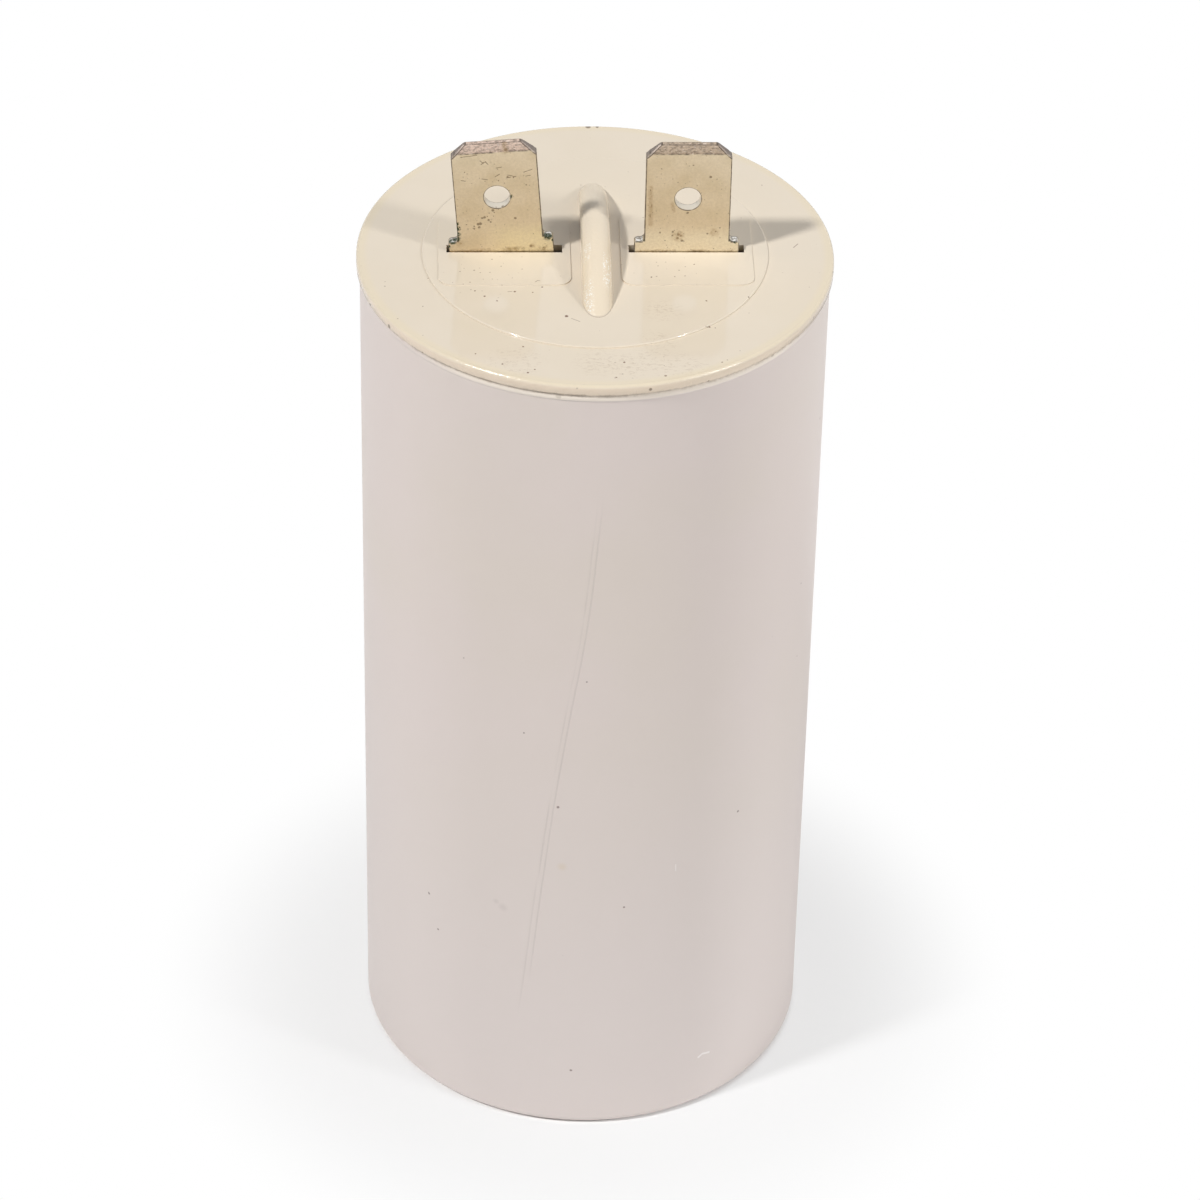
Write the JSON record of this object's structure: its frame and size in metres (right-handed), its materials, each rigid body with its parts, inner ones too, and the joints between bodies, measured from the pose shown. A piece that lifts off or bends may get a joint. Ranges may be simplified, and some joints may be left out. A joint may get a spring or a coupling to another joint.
{
  "type": "motor-run capacitor",
  "caption": "Round plastic motor-run capacitor: a potted film winding in a smooth can, with a flanged cover, a low arched barrier and flat push-on tabs.",
  "frame": {"origin": "centre of the base, on the surface that the capacitor stands on", "axes": "+Z along the can from its base to the terminals, +X from the left terminal to the right one, +Y to the back"},
  "size_m": [0.0352, 0.0352, 0.0806],
  "materials": {
    "can_plastic": "satin off-white moulded plastic, lightly scratched",
    "cover_plastic": "glossy cream moulded plastic",
    "tinned_brass": "dull, speckled tin plating over brass",
    "core_plastic": "plain moulded plastic",
    "metallised_film": "silvery metallised plastic film",
    "sprayed_zinc": "rough grey sprayed metal",
    "wrap_film": "clear yellowish plastic film",
    "tinned_wire": "tinned copper wire",
    "sleeve_plastic": "black insulating sleeve",
    "solder": "bright solder",
    "resin": "brown potting resin"
  },
  "bodies": {
    "root": {"can": "can_plastic", "cover": "cover_plastic", "terminal_left": "tinned_brass", "terminal_right": "tinned_brass", "winding_core": "core_plastic", "film_winding": "metallised_film", "metal_spray_bottom": "sprayed_zinc", "metal_spray_top": "sprayed_zinc", "winding_wrap": "wrap_film", "lead_left": "tinned_wire", "lead_right": "tinned_wire", "lead_sleeve": "sleeve_plastic", "solder_top": "solder", "solder_bottom": "solder", "solder_tail_left": "solder", "solder_tail_right": "solder", "potting_resin": "resin"}
  },
  "joints": []
}
